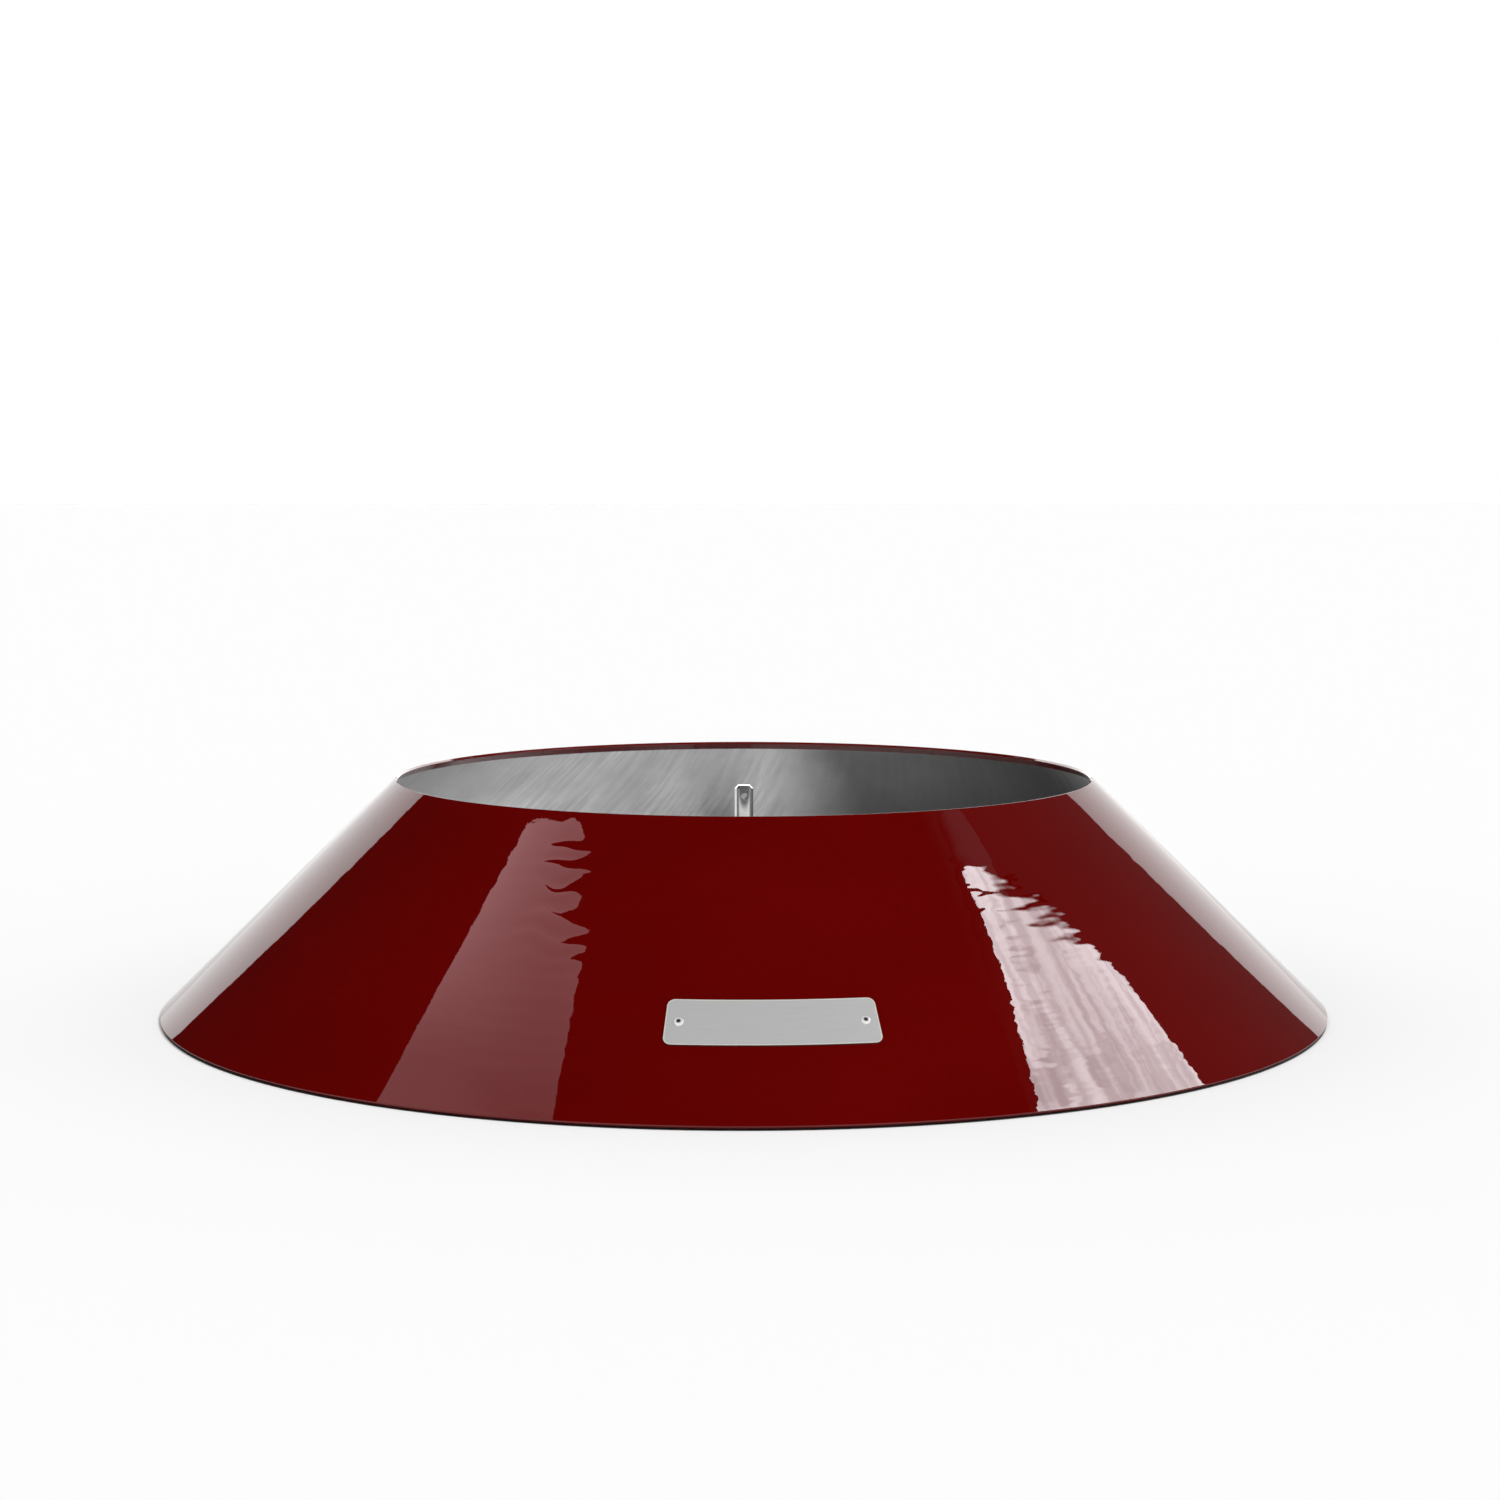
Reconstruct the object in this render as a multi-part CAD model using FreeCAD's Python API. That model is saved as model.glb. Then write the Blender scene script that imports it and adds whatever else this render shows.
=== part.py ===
import FreeCAD, Part
import math
import os

# Conical steel base for a round outdoor fire bowl.
# A rolled sheet cone, open at both ends, stands on four rubber feet. A four-armed brace
# inside it carries a locating pin on the axis. A bare name plate is riveted to the front.
#
# Millimetres. +Z is up, Z = 0 is the floor the feet stand on, the axis of the cone is the
# Z axis, and the front of the base (the name plate side) faces -Y.

V = FreeCAD.Vector
ORIGIN = V(0, 0, 0)
UP = V(0, 0, 1)
DOWN = V(0, 0, -1)

# ---------------------------------------------------------------- driving dimensions
# Cone
base_diameter = 1000.0        # outer lower edge
rim_diameter = 600.0          # outer upper edge
wall_rise = 196.0             # height of the outer face, lower edge to upper edge
sheet_thickness = 3.0
edge_easing = 0.6             # radius on the cut edges of the sheet
floor_gap = 1.0               # clear height under the sheet's lowest edge

# Clearances
weld_gap = 0.1                # pieces welded to the inside of the cone
fitted_gap = 0.1              # nuts round their screws, rivets against the sheet
laid_on_gap = 0.1             # sealant film between name plate and cone

# Ring inside the lower edge, and the feet under it
ring_width = 42.0
ring_thickness = 4.0
foot_height = 8.0
foot_diameter = 34.0
foot_taper = 2.0              # smaller radius at the top of each foot
foot_edge = 0.8               # chamfer where the foot meets the floor
foot_wall_inset = 22.0        # foot centre to the cone's inner face, at the ring
foot_recess_depth = 4.0
foot_recess_diameter = 15.0
foot_screw_diameter = 6.0
foot_screw_head_diameter = 12.0
foot_screw_head_crown = 8.4   # flat of the domed head
foot_screw_head_height = 2.8
foot_screw_socket_flats = 4.0
foot_screw_socket_depth = 1.4
foot_screw_beyond_nut = 1.5
foot_nut_flats = 10.0
foot_nut_height = 5.1
foot_hole_diameter = 6.6

# Brace: four arms, hub plate and the shelves that carry the arms
arm_top_height = 100.0
arm_width = 40.0
arm_depth = 20.0
arm_wall = 2.0
arm_corner = 3.0
arm_start_radius = 30.0
arm_end_clearance = 4.0
hub_radius = 75.0
hub_thickness = 6.0
shelf_thickness = 5.0
shelf_under_arm = 64.0        # reach of each shelf under the end of its arm
gusset_thickness = 5.0
gusset_under_arm = 18.0       # reach of each gusset under the end of its arm
gusset_drop = 38.0

# Bolts that hold the brace together (M8), and the easing of every hexagon
hexagon_ease_share = 0.9      # of the corners' height, taken off at both ends
hexagon_ease_angle = 30.0
bolt_diameter = 8.0
bolt_hole_diameter = 9.0
bolt_head_flats = 13.0
bolt_head_height = 5.3
nut_height = 6.8
washer_diameter = 16.0
washer_thickness = 1.6
thread_beyond_nut = 3.0
hub_bolt_radius = 52.0
hub_bolt_offset = 10.5        # to each side of an arm's centre line
shelf_bolt_inset = 42.0       # from the end of the arm

# Locating pin
pin_drop_below_rim = 9.2
pin_diameter = 16.0
pin_lead_in = 2.6             # 45 degree chamfer at the top
pin_cross_hole_diameter = 6.2
pin_cross_hole_below_top = 9.4
pin_collar_diameter = 34.0
pin_collar_height = 6.0
pin_collar_chamfer = 1.0
pin_thread_diameter = 12.0
pin_thread_chamfer = 1.0
pin_thread_hole_diameter = 12.6
pin_nut_flats = 18.0
pin_nut_height = 10.8
pin_washer_diameter = 24.0
pin_washer_thickness = 2.5

# Name plate and its blind rivets
plate_length = 156.0          # along the curve, at mid height
plate_height = 40.0           # along the slope
plate_thickness = 1.0
plate_corner_radius = 6.0
plate_centre_slant = 88.2     # from the lower outer edge, up the slope
rivet_end_inset = 10.0        # rivet centre to the end of the plate
rivet_shank_diameter = 4.0
rivet_hole_diameter = 4.2
rivet_head_diameter = 7.2
rivet_head_height = 1.3
rivet_head_edge = 0.3         # straight side of the head
rivet_head_crown = 2.6        # flat on top of the dome
rivet_head_shoulder = 6.2     # breadth of the dome two thirds of the way up
rivet_bulb_diameter = 6.2
rivet_bulb_length = 3.4
rivet_bore_diameter = 2.2
mandrel_diameter = 2.0
mandrel_sink = 0.35           # broken end below the top of the head
mandrel_head_diameter = 3.6
mandrel_head_length = 1.6

# ---------------------------------------------------------------- derived sizes
base_radius = base_diameter / 2
rim_radius = rim_diameter / 2
slope = math.atan2(wall_rise, base_radius - rim_radius)
slope_sin = math.sin(slope)
slope_cos = math.cos(slope)
lower_edge_height = floor_gap + sheet_thickness * slope_cos
rim_height = lower_edge_height + wall_rise

arm_bottom_height = arm_top_height - arm_depth
hub_top_height = arm_top_height + hub_thickness
shelf_bottom_height = arm_bottom_height - shelf_thickness
ring_bottom_height = foot_height
ring_top_height = ring_bottom_height + ring_thickness
pin_top_height = rim_height - pin_drop_below_rim
collar_top_height = hub_top_height + pin_collar_height
plate_centre_radius = base_radius - plate_centre_slant * slope_cos
plate_half_angle = math.degrees(plate_length / 2 / plate_centre_radius)
rivet_angle = math.degrees((plate_length / 2 - rivet_end_inset) / plate_centre_radius)

FRONT = -90.0                 # bearings are measured from +X towards +Y
ARM_BEARINGS = {"front": FRONT, "right": 0.0, "rear": 90.0, "left": 180.0}
FOOT_BEARINGS = {"front_right": -45.0, "rear_right": 45.0, "rear_left": 135.0, "front_left": -135.0}
RIVET_BEARINGS = {"left": FRONT - rivet_angle, "right": FRONT + rivet_angle}


# ---------------------------------------------------------------- small helpers
def outer_radius(height):
    """Radius of the cone's outer face at a height."""
    return base_radius - (height - lower_edge_height) * slope_cos / slope_sin


def inner_radius(height):
    """Radius of the cone's inner face at a height."""
    return outer_radius(height) - sheet_thickness / slope_sin


def arm_end_radius():
    """Radius of an arm's end, whose upper corners clear the cone."""
    reach = inner_radius(arm_top_height) - arm_end_clearance
    return math.sqrt(reach ** 2 - (arm_width / 2) ** 2)


def foot_circle_radius():
    return inner_radius(ring_bottom_height) - foot_wall_inset


def turned(points, sweep=360.0):
    """Solid of revolution about Z from (radius, height) corners."""
    corners = [V(radius, 0, height) for radius, height in points]
    outline = Part.makePolygon(corners + corners[:1])
    return Part.Face(outline).revolve(ORIGIN, UP, sweep)


def rod(radius, bottom, top):
    """Upright round bar on the Z axis."""
    return Part.makeCylinder(radius, top - bottom, V(0, 0, bottom), UP)


def tube(outer, inner, bottom, top):
    """Upright round tube on the Z axis."""
    return rod(outer, bottom, top).cut(rod(inner, bottom, top))


def hexagon(flats, bottom, top):
    """Upright hexagon bar on the Z axis, corners eased at both ends."""
    corner = flats / math.sqrt(3)
    ease = (corner - flats / 2) * hexagon_ease_share
    rise = ease * math.tan(math.radians(hexagon_ease_angle))
    points = [V(corner * math.cos(math.radians(60 * i)), corner * math.sin(math.radians(60 * i)), bottom)
              for i in range(7)]
    bar = Part.Face(Part.makePolygon(points)).extrude(V(0, 0, top - bottom))
    envelope = turned([(0, bottom), (corner - ease, bottom), (corner, bottom + rise),
                       (corner, top - rise), (corner - ease, top), (0, top)])
    return bar.common(envelope)


def turned_to(shape, bearing):
    """Copy of a shape turned about the Z axis."""
    copy = shape.copy()
    copy.rotate(ORIGIN, UP, bearing)
    return copy


def moved_out(shape, radius, sideways, bearing):
    """Copy of a shape moved out along +X and sideways along +Y, then turned about Z."""
    copy = shape.copy()
    copy.translate(V(radius, sideways, 0))
    return turned_to(copy, bearing)


def set_on_wall(shape, bearing, slant):
    """Copy of a shape whose Z axis is laid along the cone's outward normal."""
    copy = shape.copy()
    copy.rotate(ORIGIN, V(0, 1, 0), math.degrees(slope))
    radius = base_radius - slant * slope_cos
    height = lower_edge_height + slant * slope_sin
    copy.translate(V(radius, 0, height))
    return turned_to(copy, bearing)


def inside_of_cone(gap):
    """Solid that fills the cone up to a gap from its inner face."""
    inset = gap / slope_sin
    return turned([(0, 0), (inner_radius(0) - inset, 0),
                   (inner_radius(rim_height) - inset, rim_height), (0, rim_height)])


def save(name, shape):
    shape.exportStep("parts/" + name + ".step")


# ---------------------------------------------------------------- cone and name plate
def cone_shell():
    """Rolled sheet cone, its cut edges square to the sheet and slightly eased."""
    step_in = sheet_thickness * slope_sin
    step_down = sheet_thickness * slope_cos
    shell = turned([(base_radius - step_in, floor_gap), (base_radius, lower_edge_height),
                    (rim_radius, rim_height), (rim_radius - step_in, rim_height - step_down)])
    edges = [edge for edge in shell.Edges if edge.Curve.TypeId == "Part::GeomCircle"]
    shell = shell.makeFillet(edge_easing, edges)
    for bearing in RIVET_BEARINGS.values():
        hole = rod(rivet_hole_diameter / 2, -2 * sheet_thickness, sheet_thickness)
        shell = shell.cut(set_on_wall(hole, bearing, plate_centre_slant))
    return shell


def wall_point(slant, lift):
    """(radius, height) of a point up the slope and lifted off the outer face."""
    return (base_radius - slant * slope_cos + lift * slope_sin,
            lower_edge_height + slant * slope_sin + lift * slope_cos)


def name_plate():
    """Thin plate that follows the cone, with round corners and two rivet holes."""
    low = plate_centre_slant - plate_height / 2
    high = plate_centre_slant + plate_height / 2
    under = laid_on_gap
    over = laid_on_gap + plate_thickness
    plate = turned([wall_point(low, under), wall_point(low, over),
                    wall_point(high, over), wall_point(high, under)], 2 * plate_half_angle)
    plate = turned_to(plate, FRONT - plate_half_angle)
    corners = [edge for edge in plate.Edges
               if edge.Curve.TypeId == "Part::GeomLine" and edge.Length < 2 * plate_thickness]
    plate = plate.makeFillet(plate_corner_radius, corners)
    for bearing in RIVET_BEARINGS.values():
        hole = rod(rivet_hole_diameter / 2, -sheet_thickness, 2 * sheet_thickness)
        plate = plate.cut(set_on_wall(hole, bearing, plate_centre_slant))
    return plate


def rivet():
    """Blind rivet body about Z, with Z = 0 on the cone's outer face."""
    seat = laid_on_gap + plate_thickness
    shank = rivet_shank_diameter / 2
    bulb = rivet_bulb_diameter / 2
    head = rivet_head_diameter / 2
    crown_height = seat + rivet_head_height
    shoulder_height = seat + rivet_head_edge + (rivet_head_height - rivet_head_edge) * 2 / 3
    blind_side = -sheet_thickness - fitted_gap
    body = turned([(0, blind_side - rivet_bulb_length), (shank, blind_side - rivet_bulb_length),
                   (bulb, blind_side - rivet_bulb_length / 2), (bulb, blind_side),
                   (shank, blind_side), (shank, seat), (head, seat), (head, seat + rivet_head_edge),
                   (rivet_head_shoulder / 2, shoulder_height), (rivet_head_crown / 2, crown_height),
                   (0, crown_height)])
    bore = rod(rivet_bore_diameter / 2, blind_side - 2 * rivet_bulb_length, 2 * crown_height)
    return body.cut(bore)


def mandrel():
    """Broken-off stem left inside a blind rivet, with its head on the blind side."""
    top = laid_on_gap + plate_thickness + rivet_head_height - mandrel_sink
    shoulder = -sheet_thickness - fitted_gap - rivet_bulb_length - fitted_gap
    stem = rod(mandrel_diameter / 2, shoulder, top)
    head = rod(mandrel_head_diameter / 2, shoulder - mandrel_head_length, shoulder)
    return stem.fuse(head).removeSplitter()


# ---------------------------------------------------------------- locating pin
def centre_pin():
    """Round pin with a chamfered top, a cross hole, a collar and a threaded tail."""
    radius = pin_diameter / 2
    collar = pin_collar_diameter / 2
    thread = pin_thread_diameter / 2
    tail = arm_top_height - pin_washer_thickness - pin_nut_height - thread_beyond_nut
    pin = turned([(0, tail), (thread - pin_thread_chamfer, tail),
                  (thread, tail + pin_thread_chamfer), (thread, hub_top_height),
                  (collar, hub_top_height), (collar, collar_top_height - pin_collar_chamfer),
                  (collar - pin_collar_chamfer, collar_top_height), (radius, collar_top_height),
                  (radius, pin_top_height - pin_lead_in), (radius - pin_lead_in, pin_top_height),
                  (0, pin_top_height)])
    cross = Part.makeCylinder(pin_cross_hole_diameter / 2, 2 * pin_diameter,
                              V(0, -pin_diameter, pin_top_height - pin_cross_hole_below_top), V(0, 1, 0))
    return pin.cut(cross)


def pin_washer():
    return tube(pin_washer_diameter / 2, pin_thread_hole_diameter / 2,
                arm_top_height - pin_washer_thickness, arm_top_height)


def pin_nut():
    top = arm_top_height - pin_washer_thickness
    nut = hexagon(pin_nut_flats, top - pin_nut_height, top)
    return nut.cut(rod(pin_thread_diameter / 2 + fitted_gap, 0, rim_height))


# ---------------------------------------------------------------- brace
def arm():
    """Box-section arm along +X with holes for the hub and shelf bolts."""
    length = arm_end_radius() - arm_start_radius
    bar = Part.makeBox(length, arm_width, arm_depth, V(arm_start_radius, -arm_width / 2, arm_bottom_height))
    long_edges = [edge for edge in bar.Edges if abs(edge.Length - length) < 1e-6]
    bar = bar.makeFillet(arm_corner, long_edges)
    hollow = Part.makeBox(length, arm_width - 2 * arm_wall, arm_depth - 2 * arm_wall,
                          V(arm_start_radius, -arm_width / 2 + arm_wall, arm_bottom_height + arm_wall))
    inner_edges = [edge for edge in hollow.Edges if abs(edge.Length - length) < 1e-6]
    bar = bar.cut(hollow.makeFillet(arm_corner - arm_wall, inner_edges))
    hole = rod(bolt_hole_diameter / 2, 0, rim_height)
    for radius, sideways in hub_bolt_places() + shelf_bolt_places():
        bar = bar.cut(moved_out(hole, radius, sideways, 0))
    return bar


def hub_bolt_places():
    """(radius, sideways) of the bolts between one arm and the hub plate."""
    return [(hub_bolt_radius, -hub_bolt_offset), (hub_bolt_radius, hub_bolt_offset)]


def shelf_bolt_places():
    """(radius, sideways) of the bolt between one arm and its shelf."""
    return [(arm_end_radius() - shelf_bolt_inset, 0.0)]


def hub_plate():
    """Round plate on top of the arms, bored for the pin and the hub bolts."""
    plate = tube(hub_radius, pin_thread_hole_diameter / 2, arm_top_height, hub_top_height)
    hole = rod(bolt_hole_diameter / 2, 0, rim_height)
    for bearing in ARM_BEARINGS.values():
        for radius, sideways in hub_bolt_places():
            plate = plate.cut(moved_out(hole, radius, sideways, bearing))
    return plate


def bracket():
    """Shelf with a gusset under it, trimmed to the inner face of the cone."""
    shelf_start = arm_end_radius() - shelf_under_arm
    gusset_start = arm_end_radius() - gusset_under_arm
    shelf = Part.makeBox(base_radius - shelf_start, arm_width, shelf_thickness,
                         V(shelf_start, -arm_width / 2, shelf_bottom_height))
    foot = shelf_bottom_height - gusset_drop
    half = gusset_thickness / 2
    corners = [V(gusset_start, -half, shelf_bottom_height), V(base_radius, -half, shelf_bottom_height),
               V(base_radius, -half, foot), V(inner_radius(foot) - gusset_thickness, -half, foot)]
    web = Part.Face(Part.makePolygon(corners + corners[:1])).extrude(V(0, gusset_thickness, 0))
    shape = shelf.fuse(web).common(inside_of_cone(weld_gap)).removeSplitter()
    hole = rod(bolt_hole_diameter / 2, 0, rim_height)
    for radius, sideways in shelf_bolt_places():
        shape = shape.cut(moved_out(hole, radius, sideways, 0))
    return shape


def clamped(places, low, high):
    """Bolts, washers and nuts through the same stack at every place on every arm."""
    nut_top = low - washer_thickness
    nut_foot = nut_top - nut_height
    tail = nut_foot - thread_beyond_nut
    radius = bolt_diameter / 2
    bolt = hexagon(bolt_head_flats, high, high + bolt_head_height).fuse(rod(radius, tail, high))
    washer = tube(washer_diameter / 2, bolt_hole_diameter / 2, nut_top, low)
    nut = hexagon(bolt_head_flats, nut_foot, nut_top).cut(rod(radius + fitted_gap, tail, high))
    groups = []
    for piece in (bolt.removeSplitter(), washer, nut):
        copies = [moved_out(piece, out, sideways, bearing)
                  for bearing in ARM_BEARINGS.values() for out, sideways in places]
        groups.append(Part.makeCompound(copies))
    return groups


# ---------------------------------------------------------------- ring and feet
def base_ring():
    """Flat ring inside the lower edge of the cone, bored for the feet."""
    inset = weld_gap / slope_sin
    inner = inner_radius(ring_top_height) - ring_width
    ring = turned([(inner, ring_bottom_height),
                   (inner_radius(ring_bottom_height) - inset, ring_bottom_height),
                   (inner_radius(ring_top_height) - inset, ring_top_height), (inner, ring_top_height)])
    hole = rod(foot_hole_diameter / 2, 0, rim_height)
    for bearing in FOOT_BEARINGS.values():
        ring = ring.cut(moved_out(hole, foot_circle_radius(), 0, bearing))
    return ring


def foot_pad():
    """Rubber foot about Z with a recess for its screw head."""
    low = foot_diameter / 2
    pad = turned([(0, 0), (low - foot_edge, 0), (low, foot_edge), (low - foot_taper, foot_height),
                  (0, foot_height)])
    pad = pad.cut(rod(foot_recess_diameter / 2, 0, foot_recess_depth))
    return pad.cut(rod(foot_hole_diameter / 2, 0, foot_height))


def foot_screw():
    """Domed socket screw that hangs the foot from the ring."""
    head = foot_screw_head_diameter / 2
    low = foot_recess_depth - foot_screw_head_height
    top = ring_top_height + foot_nut_height + foot_screw_beyond_nut
    dome = turned([(0, low), (foot_screw_head_crown / 2, low), (head, low + foot_screw_head_height / 2),
                   (head, foot_recess_depth), (0, foot_recess_depth)])
    socket = hexagon(foot_screw_socket_flats, 0, low + foot_screw_socket_depth)
    shank = rod(foot_screw_diameter / 2, foot_recess_depth, top)
    return dome.cut(socket).fuse(shank).removeSplitter()


def foot_nut():
    nut = hexagon(foot_nut_flats, ring_top_height, ring_top_height + foot_nut_height)
    return nut.cut(rod(foot_screw_diameter / 2 + fitted_gap, 0, rim_height))


def at_every_foot(shape):
    return Part.makeCompound([moved_out(shape, foot_circle_radius(), 0, bearing)
                              for bearing in FOOT_BEARINGS.values()])


# ---------------------------------------------------------------- build
os.makedirs("parts", exist_ok=True)

save("cone_shell", cone_shell())
save("name_plate", name_plate())
for side, bearing in RIVET_BEARINGS.items():
    save("rivet_" + side, set_on_wall(rivet(), bearing, plate_centre_slant))
    save("mandrel_" + side, set_on_wall(mandrel(), bearing, plate_centre_slant))

save("centre_pin", centre_pin())
save("pin_washer", pin_washer())
save("pin_nut", pin_nut())
save("hub_plate", hub_plate())
for side, bearing in ARM_BEARINGS.items():
    save("arm_" + side, turned_to(arm(), bearing))
    save("bracket_" + side, turned_to(bracket(), bearing))
for name, stack in (("hub", (hub_bolt_places(), arm_bottom_height, hub_top_height)),
                    ("bracket", (shelf_bolt_places(), shelf_bottom_height, arm_top_height))):
    for kind, group in zip(("bolts", "washers", "nuts"), clamped(*stack)):
        save(name + "_" + kind, group)

save("base_ring", base_ring())
for side, bearing in FOOT_BEARINGS.items():
    save("foot_" + side, moved_out(foot_pad(), foot_circle_radius(), 0, bearing))
save("foot_screws", at_every_foot(foot_screw()))
save("foot_nuts", at_every_foot(foot_nut()))
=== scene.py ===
import bmesh
import bpy
import math
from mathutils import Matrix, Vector


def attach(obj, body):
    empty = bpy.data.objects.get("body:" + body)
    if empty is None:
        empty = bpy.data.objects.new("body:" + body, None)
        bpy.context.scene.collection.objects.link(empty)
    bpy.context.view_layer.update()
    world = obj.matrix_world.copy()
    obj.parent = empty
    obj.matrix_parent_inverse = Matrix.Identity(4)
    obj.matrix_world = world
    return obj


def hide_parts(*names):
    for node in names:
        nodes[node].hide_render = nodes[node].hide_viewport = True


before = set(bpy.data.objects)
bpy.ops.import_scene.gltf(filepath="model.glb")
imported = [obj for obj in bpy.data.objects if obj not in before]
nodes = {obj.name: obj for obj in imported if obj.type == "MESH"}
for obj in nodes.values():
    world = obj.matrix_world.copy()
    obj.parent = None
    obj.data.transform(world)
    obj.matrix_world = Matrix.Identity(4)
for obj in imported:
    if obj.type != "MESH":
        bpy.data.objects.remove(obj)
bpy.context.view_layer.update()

# ---------------------------------------------------------------- driving sizes, in metres
BASE_R = 0.500                # lower outer edge, before its corner is eased
RIM_R = 0.300                 # upper outer edge, before its corner is eased
RISE = 0.196
SHEET = 0.003
EDGE_EASE, EASE_CUTS = 0.0006, 4
FLOOR_GAP = 0.001
PIN_R = 0.008
CROSS_HOLE_Z, CROSS_HOLE_R = 0.18054, 0.0031
LACQUER_WRAP = 0.0052         # how far the lacquer runs down inside the rim
PLATE_R, PLATE_UP = 0.43698, 0.0882       # radius and slant height at the plate's middle
PLATE_HALF_LONG, PLATE_HALF_HIGH, PLATE_CORNER = 0.078, 0.020, 0.006
RIVET_IN = 0.010              # rivet centre to the end of the plate
EDGE_BREAK = 0.00026          # how far the plate's edges are sanded back
SLOPE = math.atan2(RISE, BASE_R - RIM_R)
SLOPE_SIN, SLOPE_COS = math.sin(SLOPE), math.cos(SLOPE)
LOWER_EDGE_Z = FLOOR_GAP + SHEET * SLOPE_COS
RIM_Z = LOWER_EDGE_Z + RISE
MID_R = (BASE_R + RIM_R) / 2
CAMERA_BEARING = math.radians(2.72)   # the camera stands this far to the left of the plate


def srgb(red, green, blue):
    """Linear colour from display values out of 255."""
    return tuple((c / 255 / 12.92) if c <= 10 else ((c / 255 + 0.055) / 1.055) ** 2.4
                 for c in (red, green, blue)) + (1.0,)


def grey(value):
    return (value, value, value, 1.0)


def wall_inner_radius(height):
    """Radius of the cone wall's inner face at a height."""
    return BASE_R - (height - LOWER_EDGE_Z) / math.tan(SLOPE) - SHEET / SLOPE_SIN


# ---------------------------------------------------------------- wiring of node trees
class Wiring:
    """Short ways to add and join the nodes of one tree."""

    def __init__(self, tree):
        self.tree = tree
        for node in list(tree.nodes):
            tree.nodes.remove(node)

    def node(self, kind, **settings):
        made = self.tree.nodes.new(kind)
        for key, value in settings.items():
            setattr(made, key, value)
        return made

    def feed(self, socket, value):
        if isinstance(value, bpy.types.NodeSocket):
            self.tree.links.new(value, socket)
        elif value is not None:
            socket.default_value = value

    def fed(self, kind, *values, **settings):
        """A node with its inputs fed in order; None leaves an input as it is."""
        made = self.node(kind, **settings)
        for socket, value in zip(made.inputs, values):
            self.feed(socket, value)
        return made

    def math(self, operation, *values):
        return self.fed("ShaderNodeMath", *values, operation=operation).outputs[0]

    def add(self, a, b):
        return self.math("ADD", a, b)

    def sub(self, a, b):
        return self.math("SUBTRACT", a, b)

    def mul(self, a, b):
        return self.math("MULTIPLY", a, b)

    def div(self, a, b):
        return self.math("DIVIDE", a, b)

    def hypot(self, a, b):
        """Length of the long side over the sides a and b."""
        return self.math("SQRT", self.add(self.mul(a, a), self.mul(b, b)))

    def join(self, x, y, z=0.0):
        return self.fed("ShaderNodeCombineXYZ", x, y, z).outputs[0]

    def split(self, vector):
        return self.fed("ShaderNodeSeparateXYZ", vector).outputs


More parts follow.
